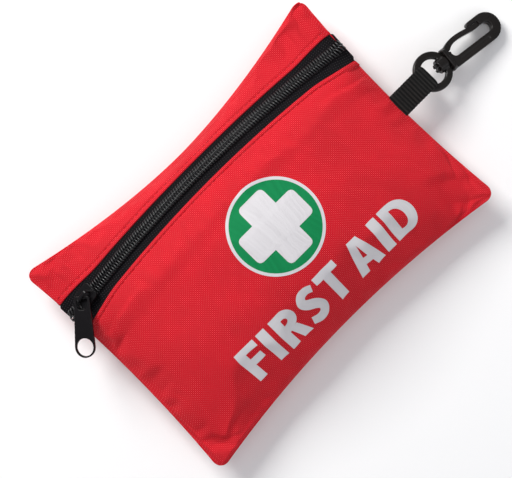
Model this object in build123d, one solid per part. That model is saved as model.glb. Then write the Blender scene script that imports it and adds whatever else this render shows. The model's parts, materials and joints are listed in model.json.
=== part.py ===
from build123d import *
import os
from math import asin, atan2, cos, degrees, hypot, sin

# A small zipped first aid pouch, lying on its back, in millimetres.
# +X runs along the long side towards the snap hook, +Y towards the zip, +Z up.
# The origin is the middle of the flat patch that the back panel rests on.

# ---- pouch ----
LENGTH = 190.0            # corner to corner along X
WIDTH = 135.0             # corner to corner along Y
SEAM_Z = 18.0             # height of the side seam above the resting patch
FRONT_RISE = 29.0         # how far the stuffed front stands above the seam
BACK_DROP = 20.5          # depth of the back before its middle is pressed flat
SEAM_LIFT = 1.3           # half thickness of the cloth layers in the seam
CLOTH = 1.1               # wall of a panel with its lining
PULL_ZIP_SIDE = 12.0      # how far the filling draws in the long side by the zip
PULL_TEXT_SIDE = 7.0      # the same on the other long side
CORNER_R = 6.0            # round of each turned corner
LINING_INSET = 2.2        # seam allowance between the outline and the hollow

# ---- zip ----
ZIP_HALF = 88.0           # half of the chord between the zip's two ends
ZIP_MID_Y = 41.6          # middle of the zip, at its highest point
ZIP_MID_Z = 35.2
ZIP_BOW = 4.6             # the middle lies this much nearer the zip-side edge
ZIP_RISE = 13.4           # and this much higher than the ends
TAPE_HALF = 7.6           # from the middle of the zip to the hem of a panel
TAPE_T = 0.6
TAPE_SPLIT = 0.3          # half of the gap between the two tapes
COIL_W = 2.9              # one row of coils
COIL_H = 2.4
COIL_GAP = 0.05           # coils sit this close over the tape
HEM_GAP = 0.3             # between the tape and a panel's hem
SLOT_DEPTH = 9.0

# ---- slider and pull tab ----
SLIDER_L = 11.0
SLIDER_W = 9.2
WING_T = 1.1
SLIDER_CLEAR = 0.25       # between the slider and the coils or tape
SLIDER_X = 80.0           # the slider stops this far from the middle, at either end
BRIDGE_L = 7.2
BRIDGE_W = 1.5
BRIDGE_BAR = 0.9
BRIDGE_OPEN = 3.1         # free height under the bridge
TAB_L = 30.0
TAB_EYE_W = 8.0
TAB_END_W = 10.4
TAB_T = 1.5
TAB_HOLE_R = 4.35
TAB_EYE_HALF = 2.85
TAB_RIM = 1.1
TAB_FROM_LEG = 2.25        # the tab's end bar stands this far from the bridge's leg
TAB_YAW = 45.0            # how far the tab is turned away from the line of the zip
TAB_ROLL = -9.0            # the eye lies a little loose on the bridge
TAB_DROOP = 5.0

# ---- webbing, ring and hook ----
WEB_Y = -4.0
WEB_W = 13.0
WEB_T = 1.0
WEB_L = 20.6              # from the side seam to the fold
ROOT_L = 3.6              # the webbing's end inside the seam
ROOT_T = 0.8
WEB_DROOP = 13.0          # the hook's end nearly touches the ground
RING_OUT = 10.3
RING_IN = 6.5
RING_T = 3.0
RING_LEAD = 2.4           # from the webbing's fold to the ring's centre
RING_SWING = 12.0
HOOK_YAW = -7.0
BARREL_R = 3.7
BARREL_FROM = 3.4
BARREL_TO = 8.8
POST_R = 1.6
POST_FIT = 0.06           # radial clearance of the post in the barrel
COLLAR_R = 6.4
COLLAR_T = 2.0
HOOK_T = 4.4
HOOK_TIP = 36.8           # centre of the round end, from the ring's centre
HOOK_BAR = 5.0
EYE_R = 2.7               # inner round of the hook's end
EYE_T = 1.3               # that round's centre, towards the gate
GATE_T = 3.8
GATE_ROOT = (12.9, 4.7)
GATE_ROOT_R = 1.75
GATE_FIT = 0.1

# ---- supplies ----
LAY = 0.3                 # clearance between things that lie on each other


def raised(base, power):
    return max(base, 0.0) ** power


def edge_zip_side(x):
    return WIDTH / 2 - PULL_ZIP_SIDE * (1 - abs(2 * x / LENGTH) ** 1.8)


def edge_text_side(x):
    return -WIDTH / 2 + PULL_TEXT_SIDE * (1 - abs(2 * x / LENGTH) ** 2)


# the zip is an arc of a circle in a plane that leans towards the zip side
ZIP_LEAN = atan2(ZIP_BOW, ZIP_RISE)
ZIP_SAG = hypot(ZIP_BOW, ZIP_RISE)
ZIP_R = (ZIP_HALF ** 2 + ZIP_SAG ** 2) / (2 * ZIP_SAG)
ZIP_CENTRE_Y = ZIP_MID_Y - ZIP_R * sin(ZIP_LEAN)
ZIP_CENTRE_Z = ZIP_MID_Z - ZIP_R * cos(ZIP_LEAN)
ZIP_FRAME = Location((0, ZIP_CENTRE_Y, ZIP_CENTRE_Z), (-degrees(ZIP_LEAN), 0, 0))


def zip_point(x):
    """y and z of the zip's middle line at x."""
    drop = ZIP_R - (ZIP_R ** 2 - x ** 2) ** 0.5
    return ZIP_MID_Y - drop * sin(ZIP_LEAN), ZIP_MID_Z - drop * cos(ZIP_LEAN)


def zip_turn(x):
    return degrees(asin(x / ZIP_R))


def arc_band(y0, y1, r0, r1, x_end, corner=0.0):
    """A band along the zip's arc, from y0 to y1 across and r0 to r1 outwards."""
    outline = Rectangle(y1 - y0, r1 - r0)
    if corner:
        outline = fillet(outline.vertices(), corner)
    turn = zip_turn(x_end)
    face = Plane.YZ * Pos((y0 + y1) / 2, ZIP_R + (r0 + r1) / 2) * outline
    band = revolve(face, Axis.Y, 2 * turn)
    return ZIP_FRAME * Rot(0, -turn, 0) * band


# ---- pouch shells ----

def smooth(u):
    u = min(max(u, 0.0), 1.0)
    return u * u * (3 - 2 * u)


def front_z(x, y, inset=0.0, wall=0.0):
    """Height of the front: a pillow's crown that follows the tape near the zip."""
    low, high = edge_text_side(x) + inset, edge_zip_side(x) - inset
    across = abs(2 * (y - low) / (high - low) - 1)
    full = raised(1 - (2 * x / LENGTH) ** 2, 0.9)
    rise = SEAM_LIFT + (FRONT_RISE - SEAM_LIFT) * full - wall
    pillow = SEAM_Z + rise * raised(1 - across ** 2.4, 0.75)
    zip_y, zip_z = zip_point(x)
    tape = zip_z - wall - (y - zip_y) * sin(ZIP_LEAN) / cos(ZIP_LEAN)
    near = smooth((26 - abs(y - zip_y)) / 16) * smooth((high - y) / 9)
    near *= smooth((90 - abs(x)) / 12)
    return pillow * (1 - near) + tape * near


def back_z(x, y, inset=0.0, wall=0.0):
    """Height of the back before its middle is pressed flat."""
    low, high = edge_text_side(x) + inset, edge_zip_side(x) - inset
    across = abs(2 * (y - low) / (high - low) - 1)
    full = raised(1 - (2 * x / LENGTH) ** 4, 0.7)
    drop = SEAM_LIFT + (BACK_DROP - SEAM_LIFT) * full - wall
    return SEAM_Z - drop * raised(1 - across ** 4, 0.7)


def pillow_solid(inset, wall):
    """The stuffed shape as a loft of cross sections along X."""
    stations = (0.0, 0.22, 0.44, 0.62, 0.78, 0.9, 1.0)
    spots = (-1, -0.96, -0.85, -0.65, -0.35, 0, 0.3, 0.52, 0.66, 0.8, 0.93, 1)
    half = LENGTH / 2 - inset
    wires = []
    for share in [-s for s in stations[:0:-1]] + list(stations):
        x = share * half
        low, high = edge_text_side(x) + inset, edge_zip_side(x) - inset
        ys = [(low + high) / 2 + spot * (high - low) / 2 for spot in spots]
        top = [(x, y, front_z(x, y, inset, wall)) for y in ys]
        under = [(x, y, back_z(x, y, inset, wall)) for y in ys]
        wires.append(Wire([Edge.make_spline(top), Edge.make_spline(under[::-1])]))
    return Solid.make_loft(wires)


def rounded_outline():
    """The seam's outline with round corners, as a tall prism to trim with."""
    long_half, wide_half = LENGTH / 2, WIDTH / 2
    plan = fillet(Rectangle(2 * long_half, 2 * wide_half).vertices(), CORNER_R)
    return Pos(0, 0, -5) * extrude(plan, 80)


def slab(z0, z1):
    return Pos(0, 0, (z0 + z1) / 2) * Box(2 * LENGTH, 2 * WIDTH, z1 - z0)


def make_panels():
    """Back, lower front and upper front, as thin walls round one hollow."""
    outer = pillow_solid(0.0, 0.0) & rounded_outline() & slab(0, 90)
    hollow = pillow_solid(LINING_INSET, CLOTH) & slab(CLOTH, 90)
    wall = outer - hollow - webbing_root()
    back = wall & slab(-1, SEAM_Z)
    front = wall & slab(SEAM_Z, 90)
    reach = TAPE_HALF + HEM_GAP
    slot = arc_band(-reach, reach, -SLOT_DEPTH, SLOT_DEPTH, LENGTH / 2 + 3)
    halves = sorted((front - slot).solids(), key=lambda s: -s.volume)[:2]
    halves.sort(key=lambda s: s.center().Y)
    return {"back_panel": back, "front_panel": halves[0], "front_upper_strip": halves[1]}


# ---- zip ----

def make_zip():
    tape_end = ZIP_HALF + 2.5
    low, high = -TAPE_T / 2, TAPE_T / 2
    coil_low = high + COIL_GAP
    out = {}
    for name, side in (("lower", -1), ("upper", 1)):
        edges = sorted((side * TAPE_SPLIT, side * TAPE_HALF))
        out["zip_tape_" + name] = arc_band(*edges, low, high, tape_end)
        edges = sorted((side * TAPE_SPLIT, side * (TAPE_SPLIT + COIL_W)))
        out["zip_coil_" + name] = arc_band(*edges, coil_low, coil_low + COIL_H, ZIP_HALF, 0.9)
    stop = Pos(0, 0, high + COIL_H / 2 + COIL_GAP) * Box(1.6, 7.2, COIL_H)
    ends = [at_zip(side * (ZIP_HALF + 1.0)) * stop for side in (-1, 1)]
    out["zip_end_stops"] = Compound(ends)
    return out


def at_zip(x):
    """The frame on the tape at x: X along the zip, Z out of the cloth."""
    return ZIP_FRAME * Rot(0, zip_turn(x), 0) * Pos(0, 0, ZIP_R)


WING_Z = TAPE_T / 2 + COIL_GAP + COIL_H + SLIDER_CLEAR
BRIDGE_Z = WING_Z + WING_T


def plate(length, width, z0, thick, corner):
    outline = fillet(Rectangle(length, width).vertices(), corner)
    return Pos(0, 0, z0) * extrude(outline, thick)


def make_slider():
    """Two wings joined by side flanges above and a thin web between the rows."""
    under_z = -TAPE_T / 2 - SLIDER_CLEAR - WING_T
    body = plate(SLIDER_L, SLIDER_W, WING_Z, WING_T, 2.2)
    body += plate(SLIDER_L - 1, SLIDER_W - 0.4, under_z, WING_T, 2.0)
    flange_w = SLIDER_W / 2 - TAPE_SPLIT - COIL_W - SLIDER_CLEAR
    flange_z = TAPE_T / 2 + SLIDER_CLEAR
    for side in (-1, 1):
        y = side * (SLIDER_W / 2 - flange_w / 2)
        tall = WING_Z - flange_z
        body += Pos(0, y, flange_z + tall / 2) * Box(SLIDER_L - 4.6, flange_w, tall)
    web_t = 2 * (TAPE_SPLIT - 0.12)
    tall = WING_Z - under_z - WING_T
    body += Pos(3, 0, under_z + WING_T + tall / 2) * Box(3, web_t, tall)
    arch = Pos(0, 0, BRIDGE_Z) * bridge_shape()
    place = at_zip(-SLIDER_X)
    return {"slider_body": place * body, "slider_bridge": place * arch}


def bridge_shape():
    """A low arch along the zip, standing on the upper wing."""
    tall = BRIDGE_OPEN + BRIDGE_BAR
    side = Pos(0, tall / 2) * Rectangle(BRIDGE_L, tall)
    top = side.vertices().sort_by(Axis.Y)[-2:]
    side = fillet(top, 1.4)
    side -= Pos(0, BRIDGE_OPEN / 2) * Rectangle(BRIDGE_L - 2 * BRIDGE_BAR, BRIDGE_OPEN)
    return Rot(90, 0, 0) * extrude(side, BRIDGE_W / 2, both=True)


# the tab's end bar lies near the bridge's leg on the side that the tab hangs from
TAB_AXIS_X = -(BRIDGE_L / 2 - BRIDGE_BAR / 2 - TAB_FROM_LEG)
TAB_AXIS_Z = BRIDGE_Z + BRIDGE_OPEN - 1.1
TAB_FRAME = (at_zip(-SLIDER_X) * Pos(TAB_AXIS_X, 0, TAB_AXIS_Z)
             * Rot(0, 0, 180 + TAB_YAW) * Rot(TAB_ROLL, 0, 0) * Rot(0, TAB_DROOP, 0))


def make_tab():
    """A flat pull, along +X of its own frame, with an eye and a round finger hole."""
    end_x = TAB_L - TAB_RIM / 2 - TAB_END_W / 2
    eye_x = -TAB_RIM / 2
    edge = TAB_END_W / 2
    rounds = [Pos(end_x, 0) * Circle(edge),
              Pos(eye_x + 1.5, TAB_EYE_W / 2 - 1.5) * Circle(1.5),
              Pos(eye_x + 1.5, 1.5 - TAB_EYE_W / 2) * Circle(1.5)]
    plan = make_hull([edge for disc in rounds for edge in disc.edges()])
    plan -= Pos(end_x, 0) * Circle(TAB_HOLE_R)
    eye = Pos(TAB_RIM / 2 + 2.75, 0) * Rectangle(5.5, 2 * TAB_EYE_HALF)
    far = eye.vertices().sort_by(Axis.X)[-2:]
    plan -= fillet(far, 2.3)
    return TAB_FRAME * extrude(plan, TAB_T / 2, both=True)


# ---- webbing, ring and hook: along +X of their own frames, the gate on the +Y side ----

SEAM_END_X = LENGTH / 2
WEB_FRAME = Pos(SEAM_END_X, WEB_Y, SEAM_Z) * Rot(0, WEB_DROOP, 0)
RING_FRAME = WEB_FRAME * Pos(WEB_L + RING_LEAD, 0, 0) * Rot(0, 0, HOOK_YAW)
RING_AXIS_X = -5.9        # the ring swings about this line of its own frame
WEB_POCKET = RING_T / 2 + 4.6 * sin(RING_SWING / 57.2958) + 0.15


def make_webbing():
    """A band folded round the ring: two layers that part, and a fold inside the ring."""
    part_x = WEB_L + RING_LEAD - RING_OUT - 3.5
    outside = [(0.3, 0.15), (1.6, WEB_T + 0.15), (part_x * 0.45, WEB_T + 0.35),
               (part_x + 1.5, WEB_POCKET + WEB_T), (WEB_L - 1.2, WEB_POCKET + WEB_T),
               (WEB_L, WEB_POCKET * 0.6)]
    inside = [(WEB_L - WEB_T, WEB_POCKET * 0.55), (WEB_L - 1.7, WEB_POCKET),
              (part_x + 1.8, WEB_POCKET), (part_x * 0.45 + 0.6, 0.3), (2.4, 0.15)]
    upper = outside + inside
    both = Polyline(*outside, *[(x, -z) for x, z in outside[::-1]], close=True)
    hole = Polyline(*inside, *[(x, -z) for x, z in inside[::-1]], close=True)
    side = make_face(both) - make_face(hole)
    loop = Rot(90, 0, 0) * extrude(side, WEB_W / 2, both=True)
    ring_room = RING_IN - 1.4
    for way in (-1, 1):
        notch = Pos(WEB_L - 1.0, way * (ring_room + 2.0), 0) * Box(5.0, 4.0, 2 * WEB_POCKET)
        loop -= notch
    return {"webbing_loop": WEB_FRAME * loop, "webbing_root": webbing_root()}


def webbing_root():
    """The end of the webbing, caught between the two panels in the side seam."""
    return Pos(SEAM_END_X - ROOT_L / 2 - 0.4, WEB_Y, SEAM_Z) * Box(ROOT_L, WEB_W, ROOT_T)


def make_ring():
    section = Rectangle(RING_OUT - RING_IN, RING_T)
    section = fillet(section.vertices(), 0.9)
    hoop = revolve(Plane.XZ * Pos((RING_OUT + RING_IN) / 2, 0) * section, Axis.Z, 360)
    hoop &= Pos(BARREL_TO - 20, 0, 0) * Box(40, 40, 20)
    depth = BARREL_TO - BARREL_FROM
    barrel = Plane.YZ.offset(BARREL_FROM) * extrude(Circle(BARREL_R), depth)
    bore = Plane.YZ.offset(0) * extrude(Circle(POST_R + POST_FIT), 12)
    return RING_FRAME * ((hoop + barrel) - bore)


def make_hook():
    """Collar, split post, solid spine, round end and nose; open on the gate side."""
    base_x = BARREL_TO + 0.2
    out_r = EYE_R + HOOK_BAR
    collar = Plane.YZ.offset(base_x) * extrude(Circle(COLLAR_R), COLLAR_T)
    collar &= Box(60, 40, 2 * 4.1)
    base_x += COLLAR_T
    spine_t = EYE_T - out_r
    outside = Polyline((base_x, GATE_ROOT[1] + 1.6), (base_x, spine_t + 0.4),
                       (base_x + 3, spine_t + 0.2), (HOOK_TIP, spine_t))
    outside += ThreePointArc((HOOK_TIP, spine_t), (HOOK_TIP + out_r, EYE_T),
                             (HOOK_TIP, EYE_T + out_r))
    outside += Polyline((HOOK_TIP, EYE_T + out_r), (29.4, EYE_T + out_r), (28.7, EYE_T + 6.7),
                        (28.7, 6.95), (34.6, 6.5), (34.6, EYE_T + EYE_R), (HOOK_TIP, EYE_T + EYE_R))
    outside += ThreePointArc((HOOK_TIP, EYE_T + EYE_R), (HOOK_TIP + EYE_R, EYE_T),
                             (HOOK_TIP, EYE_T - EYE_R))
    eye_x = base_x + 2.4
    outside += Line((HOOK_TIP, EYE_T - EYE_R), (eye_x + 2.4, EYE_T - EYE_R + 0.2))
    outside += ThreePointArc((eye_x + 2.4, EYE_T - EYE_R + 0.2), (eye_x + 0.7, EYE_T - EYE_R + 0.9),
                             (eye_x, EYE_T - EYE_R + 2.6))
    outside += Polyline((eye_x, EYE_T - EYE_R + 2.6), (eye_x, GATE_ROOT[1] + 1.6),
                        (base_x, GATE_ROOT[1] + 1.6))
    plan = make_face(outside) - Pos(*GATE_ROOT) * Circle(GATE_ROOT_R + GATE_FIT)
    bar = extrude(plan, HOOK_T / 2, both=True)
    groove = Pos((base_x + HOOK_TIP) / 2 + 1, spine_t + HOOK_BAR / 2) * SlotOverall(20, 1.5)
    for side in (-1, 1):
        bar -= Pos(0, 0, side * HOOK_T / 2) * extrude(groove, 0.5, both=True)
    post_from = BARREL_FROM - 0.1
    post = Plane.YZ.offset(post_from) * extrude(Circle(POST_R), base_x - post_from)
    head = Plane.YZ.offset(post_from - 1.3) * extrude(Circle(2.5), 1.3)
    split = Box(2.4, 8, 0.8) + Box(2.4, 0.8, 8)
    head -= Pos(post_from - 1.3, 0, 0) * split
    return RING_FRAME * (bar + collar + post + head)


def gate_plan():
    """The springy arm, curved outwards, with its end inside the hook's nose."""
    top = Spline((12.7, 6.4), (16.4, 7.6), (21.3, 7.8), (28.6, 6.8))
    under = Spline((34.3, 3.9), (27.0, 4.4), (20.2, 5.1), (16.1, 4.5), (14.0, 3.3))
    outline = top + Polyline((28.6, 6.8), (34.3, 6.35), (34.3, 3.9)) + under
    outline += Polyline((14.0, 3.3), (12.9, 4.0), (12.7, 6.4))
    return make_face(outline) + Pos(*GATE_ROOT) * Circle(GATE_ROOT_R)


def make_gate():
    return RING_FRAME * extrude(gate_plan(), GATE_T / 2, both=True)


# ---- supplies, stacked from the back panel up ----

def packet(length, width, thick, x, y, z, corner=3.0):
    return Pos(x, y, z) * extrude(fillet(Rectangle(length, width).vertices(), corner), thick)


def stack(count, length, width, thick, x, y, z):
    step = thick + 0.1
    return Compound([packet(length, width, thick, x, y, z + i * step) for i in range(count)])


def roll(radius, length, x, y, z):
    """A rolled bandage lying along X, with a small open middle."""
    ring = Circle(radius) - Circle(radius * 0.22)
    return Pos(x - length / 2, y, z + radius) * Rot(0, 90, 0) * extrude(ring, length)


BASE_Z = CLOTH + LAY
FOLDED_T = 6.0
SECOND_Z = BASE_Z + FOLDED_T + LAY
PAD_T = 1.9
SCISSORS_Z = SECOND_Z + 3 * PAD_T + 0.2 + LAY
BLADE_T = 1.5
BLADE_GAP = 0.08
ROLLS_Z = SCISSORS_Z      # rolled bandages lie beside the scissors
TOP_Z = SCISSORS_Z + 2 * BLADE_T + BLADE_GAP + LAY
TAPE_ROLL_W = 12.5
PIVOT = (2.0, 10.0)


def blade(side):
    """One half of the scissors: blade along +X, finger loop on its own side."""
    steel = make_face(Polyline((-8, -side * 1.5), (-6, side * 4), (38, side * 0.6),
                               (40, -side * 0.4), (4, -side * 4), close=True))
    arm = make_face(Polyline((-4, -side * 3), (-4, side * 3.4), (-29, side * 9.4),
                             (-31, side * 4.4), close=True))
    loop = Pos(-36, side * 11) * (Circle(10) - Circle(7))
    half = steel + arm + loop
    return half


def make_scissors():
    lower = extrude(blade(-1) - Circle(1.6), BLADE_T)
    upper = extrude(blade(1) - Circle(1.66), BLADE_T)
    top_z = BLADE_T + BLADE_GAP
    rivet = extrude(Circle(1.6), top_z + BLADE_T)
    rivet += Pos(0, 0, top_z + BLADE_T + 0.05) * extrude(Circle(2.6), 0.4)
    rivet += extrude(Circle(1.6), top_z + BLADE_T + 0.1)
    at = Pos(*PIVOT, SCISSORS_Z)
    return {"scissors_lower_blade": at * lower, "scissors_upper_blade": at * Pos(0, 0, top_z) * upper,
            "scissors_rivet": at * rivet}


def make_tweezers():
    arm = Polyline((0, 0), (9, 0), (60, 2.2), (60, 3.4), (0, 1.4), close=True)
    arm = extrude(make_face(arm), 3.2)
    return Pos(-35, -39.5, SCISSORS_Z) * (arm + mirror(arm, Plane.XZ))


def make_pins():
    pins = []
    for i in range(3):
        outline = SlotOverall(24, 5) - SlotOverall(22.2, 3.2)
        pins.append(Pos(0, i * 6.0, 0) * extrude(outline, 0.9))
    return Pos(-28, 8, TOP_Z + TAPE_ROLL_W + LAY) * Compound(pins)


def make_supplies():
    out = {}
    out["triangular_bandage"] = packet(52, 60, FOLDED_T, -27, -6, BASE_Z)
    out["emergency_blanket"] = packet(50, 60, FOLDED_T, 26, -6, BASE_Z)
    out["pad_packets"] = stack(3, 70, 74, PAD_T, -29, -6, SECOND_Z)
    out["glove_packet"] = packet(56, 74, 3 * PAD_T + 0.2, 36, -6, SECOND_Z)
    out["gauze_roll"] = roll(9.5, 44, -28, -27, ROLLS_Z)
    out["elastic_bandage_roll"] = roll(10.5, 42, 19, -27, ROLLS_Z)
    at_tape = Pos(-28, 14, TOP_Z)
    out["adhesive_tape_roll"] = at_tape * extrude(Circle(16) - Circle(11.1), TAPE_ROLL_W)
    out["adhesive_tape_core"] = at_tape * extrude(Circle(11) - Circle(9.6), TAPE_ROLL_W)
    out["plaster_packets"] = stack(5, 58, 22, 1.0, 35, 10, TOP_Z)
    out["wipe_sachets"] = stack(4, 46, 26, 1.3, 30, 10, TOP_Z + 5 * 1.1 + LAY)
    out["tweezers"] = make_tweezers()
    out["safety_pins"] = make_pins()
    out.update(make_scissors())
    return out


def main():
    os.makedirs("parts", exist_ok=True)
    nodes = make_panels()
    nodes.update(make_zip())
    nodes.update(make_slider())
    nodes["pull_tab"] = make_tab()
    nodes.update(make_webbing())
    nodes["swivel_ring"] = make_ring()
    nodes["snap_hook"] = make_hook()
    nodes["hook_gate"] = make_gate()
    nodes.update(make_supplies())
    for name, shape in nodes.items():
        export_step(shape, f"parts/{name}.step")
        box = shape.bounding_box()
        print(name, len(shape.solids()), round(shape.volume, 1), box.min, box.max)
    joint_places()


def joint_places():
    """Axes and points of the joints, in metres, for whoever fills in the record."""
    def axis(frame, way):
        start = (frame * Pos(0, 0, 0)).position
        end = (frame * Pos(*way)).position
        return [round(v, 5) for v in (end - start)], [round(v / 1000, 6) for v in start]
    print("slider", axis(ZIP_FRAME, (0, 1, 0)), 2 * zip_turn(SLIDER_X))
    print("tab", axis(at_zip(-SLIDER_X) * Pos(TAB_AXIS_X, 0, TAB_AXIS_Z)
                      * Rot(0, 0, 180 + TAB_YAW) * Rot(TAB_ROLL, 0, 0), (0, -1, 0)))
    print("loop", axis(WEB_FRAME, (0, -1, 0)))
    print("ring", axis(RING_FRAME * Pos(RING_AXIS_X, 0, 0), (0, -1, 0)))
    print("hook", axis(RING_FRAME * Pos(BARREL_TO, 0, 0), (1, 0, 0)))
    print("gate", axis(RING_FRAME * Pos(*GATE_ROOT, 0), (0, 0, -1)))
    print("scissors", [round(v / 1000, 6) for v in (*PIVOT, SCISSORS_Z)])
    end_x = TAB_L - TAB_RIM / 2 - TAB_END_W / 2
    print("tab hole", axis(TAB_FRAME * Pos(end_x, 0, 0), (0, 0, 1)))


main()
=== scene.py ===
# %% [markdown]
# # A small zipped first aid pouch
# A red pouch of coarse oxford cloth, stuffed like a cushion, with a black zip along its front
# and a webbing loop, swivel ring and plastic snap hook on one short side. The CAD model fixes
# every size and joint. This lesson builds what the eye sees: cloth, coils, print and webbing.

# %% Load the frame
import json
import math

import bmesh
import bpy
import numpy as np
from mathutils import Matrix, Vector


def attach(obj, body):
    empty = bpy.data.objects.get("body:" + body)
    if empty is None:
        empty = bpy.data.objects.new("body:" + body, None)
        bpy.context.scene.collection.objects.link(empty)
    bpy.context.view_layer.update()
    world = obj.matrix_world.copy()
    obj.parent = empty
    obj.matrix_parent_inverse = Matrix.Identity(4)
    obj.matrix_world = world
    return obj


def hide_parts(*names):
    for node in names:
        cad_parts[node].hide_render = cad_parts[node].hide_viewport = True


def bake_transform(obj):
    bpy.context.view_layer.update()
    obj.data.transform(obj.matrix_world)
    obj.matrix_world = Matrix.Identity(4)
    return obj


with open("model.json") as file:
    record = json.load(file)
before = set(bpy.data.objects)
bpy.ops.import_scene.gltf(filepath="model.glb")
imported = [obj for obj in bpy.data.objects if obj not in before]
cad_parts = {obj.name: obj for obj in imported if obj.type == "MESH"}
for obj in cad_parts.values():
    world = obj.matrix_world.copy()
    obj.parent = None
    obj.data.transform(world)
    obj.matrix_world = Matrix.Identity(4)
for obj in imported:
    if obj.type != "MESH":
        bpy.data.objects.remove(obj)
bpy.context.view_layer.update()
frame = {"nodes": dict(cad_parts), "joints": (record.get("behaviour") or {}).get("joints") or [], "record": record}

# %% [markdown]
# ## Camera and light
# The pouch lies on its back. The camera looks straight down on its front, turned about its own
# axis by 45 degrees, so that the zip climbs across the picture. A long lens keeps it flat.
# A wide soft lamp beyond the zip side lights the strip above the zip and shades the far side.

# %% Camera
MM = 0.001
TURN = math.radians(45.2)
RIGHT = Vector((math.cos(TURN), -math.sin(TURN), 0))
UP = Vector((math.sin(TURN), math.cos(TURN), 0))
SEAM_Z = 18.0
CAMERA_HEIGHT = 700.0
LENS = 100.0

camera = bpy.data.objects.new("camera", bpy.data.cameras.new("camera"))
camera.data.lens = LENS
camera.data.sensor_width = 36.0
camera.data.clip_start = 0.01
bpy.context.scene.collection.objects.link(camera)
aim = RIGHT * -2.0 + UP * -2.4
camera.location = (aim + Vector((0, 0, SEAM_Z + CAMERA_HEIGHT))) * MM
camera.rotation_euler = (0, 0, -TURN)
bpy.context.scene.camera = camera
bpy.context.scene.view_settings.view_transform = "Standard"


# %% Light and floor
def area_light(name, toward, distance, size, power, tint=(1, 1, 1)):
    """A square soft lamp at distance along toward, facing the pouch."""
    data = bpy.data.lights.new(name, "AREA")
    data.size = size
    data.energy = power
    data.color = tint
    lamp = bpy.data.objects.new(name, data)
    lamp.location = Vector(toward).normalized() * distance
    lamp.rotation_euler = Vector(toward).to_track_quat("Z", "Y").to_euler()
    bpy.context.scene.collection.objects.link(lamp)


area_light("key", UP * 0.8 - RIGHT * 0.75 + Vector((0, 0, 0.95)), 1.1, 0.5, 12.5, (1, 0.99, 0.97))
area_light("fill", RIGHT * 0.9 - UP * 0.5 + Vector((0, 0, 0.9)), 1.3, 1.0, 3.0, (0.97, 0.98, 1))
area_light("top", Vector((0, 0, 1)), 1.4, 0.9, 3.0)

world = bpy.data.worlds.new("studio")
bpy.context.scene.world = world
world.use_nodes = True
world.node_tree.nodes["Background"].inputs["Color"].default_value = (0.92, 0.94, 1.0, 1)
world.node_tree.nodes["Background"].inputs["Strength"].default_value = 0.38

bpy.ops.mesh.primitive_plane_add(size=6)
floor = bpy.context.object
floor.name = "floor"

# %% [markdown]
# ## Effects that several finishes share
# Woven cloth is the main surface. Its yarns pass over and under each other, so its height is a
# product of two waves, and a mask from the same waves lays a painted highlight on each yarn crown.
# It is built once as a node group and placed in each cloth with its own yarn spacing. A second
# group gives slow uneven tone, which every finish uses.


# %% Node helpers
def new_group(name, inputs, outputs):
    tree = bpy.data.node_groups.new(name, "ShaderNodeTree")
    for socket, kind, value in inputs:
        item = tree.interface.new_socket(socket, in_out="INPUT", socket_type=kind)
        if value is not None:
            item.default_value = value
    for socket, kind in outputs:
        tree.interface.new_socket(socket, in_out="OUTPUT", socket_type=kind)
    return tree, tree.nodes.new("NodeGroupInput"), tree.nodes.new("NodeGroupOutput")


def wire(tree, value, socket):
    if isinstance(value, bpy.types.NodeSocket):
        tree.links.new(value, socket)
    elif value is not None:
        socket.default_value = value


def maths(tree, operation, first, second=None, third=None):
    node = tree.nodes.new("ShaderNodeMath")
    node.operation = operation
    for value, socket in zip((first, second, third), node.inputs):
        wire(tree, value, socket)
    return node.outputs[0]


def mix_colour(tree, share, first, second, mode="MIX"):
    node = tree.nodes.new("ShaderNodeMix")
    node.data_type = "RGBA"
    node.blend_type = mode
    wire(tree, share, node.inputs["Factor"])
    wire(tree, first, node.inputs["A"])
    wire(tree, second, node.inputs["B"])
    return node.outputs["Result"]


def noise(tree, vector, scale, detail=3.0):
    node = tree.nodes.new("ShaderNodeTexNoise")
    node.inputs["Scale"].default_value = scale
    node.inputs["Detail"].default_value = detail
    wire(tree, vector, node.inputs["Vector"])
    return node.outputs["Fac"]


# %% Woven yarns and slow unevenness
def build_weave():
    """Over-and-under cloth: the sign of s = sin(u) sin(v) says which yarn is on top, and |s| is
    its crown. Height is its relief, and the second output masks a painted highlight on the yarn
    tops. Yarns that pass under are lower, with a weaker painted highlight, by the share Under."""
    tree, given, out = new_group(
        "woven yarns",
        [("Vector", "NodeSocketVector", None), ("Yarn", "NodeSocketFloat", 0.0007),
         ("Under", "NodeSocketFloat", 0.3)],
        [("Height", "NodeSocketFloat"), ("Mask", "NodeSocketFloat")])
    split = tree.nodes.new("ShaderNodeSeparateXYZ")
    wire(tree, given.outputs["Vector"], split.inputs[0])
    wobble = maths(tree, "MULTIPLY", maths(tree, "SUBTRACT", noise(
        tree, given.outputs["Vector"], 160.0, 2.0), 0.5), 0.9)
    rate = maths(tree, "DIVIDE", math.pi, given.outputs["Yarn"])
    across = maths(tree, "ADD", maths(tree, "MULTIPLY", split.outputs["X"], rate), wobble)
    along = maths(tree, "ADD", maths(tree, "MULTIPLY", split.outputs["Y"], rate), wobble)
    sine_x, sine_y = maths(tree, "SINE", across), maths(tree, "SINE", along)
    over = maths(tree, "MULTIPLY", sine_x, sine_y)
    size = maths(tree, "ABSOLUTE", over)
    beneath = maths(tree, "LESS_THAN", over, 0.0)
    share = maths(tree, "SUBTRACT", 1.0, maths(tree, "MULTIPLY", beneath,
                                               given.outputs["Under"]))
    height = maths(tree, "MULTIPLY", maths(tree, "POWER", size, 0.6), share)
    # mask of the painted highlight on each yarn crown
    crown_highlight = maths(tree, "MULTIPLY", maths(tree, "POWER", size, 4.4), share)
    wire(tree, height, out.inputs["Height"])
    wire(tree, crown_highlight, out.inputs["Mask"])
    return tree


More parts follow.
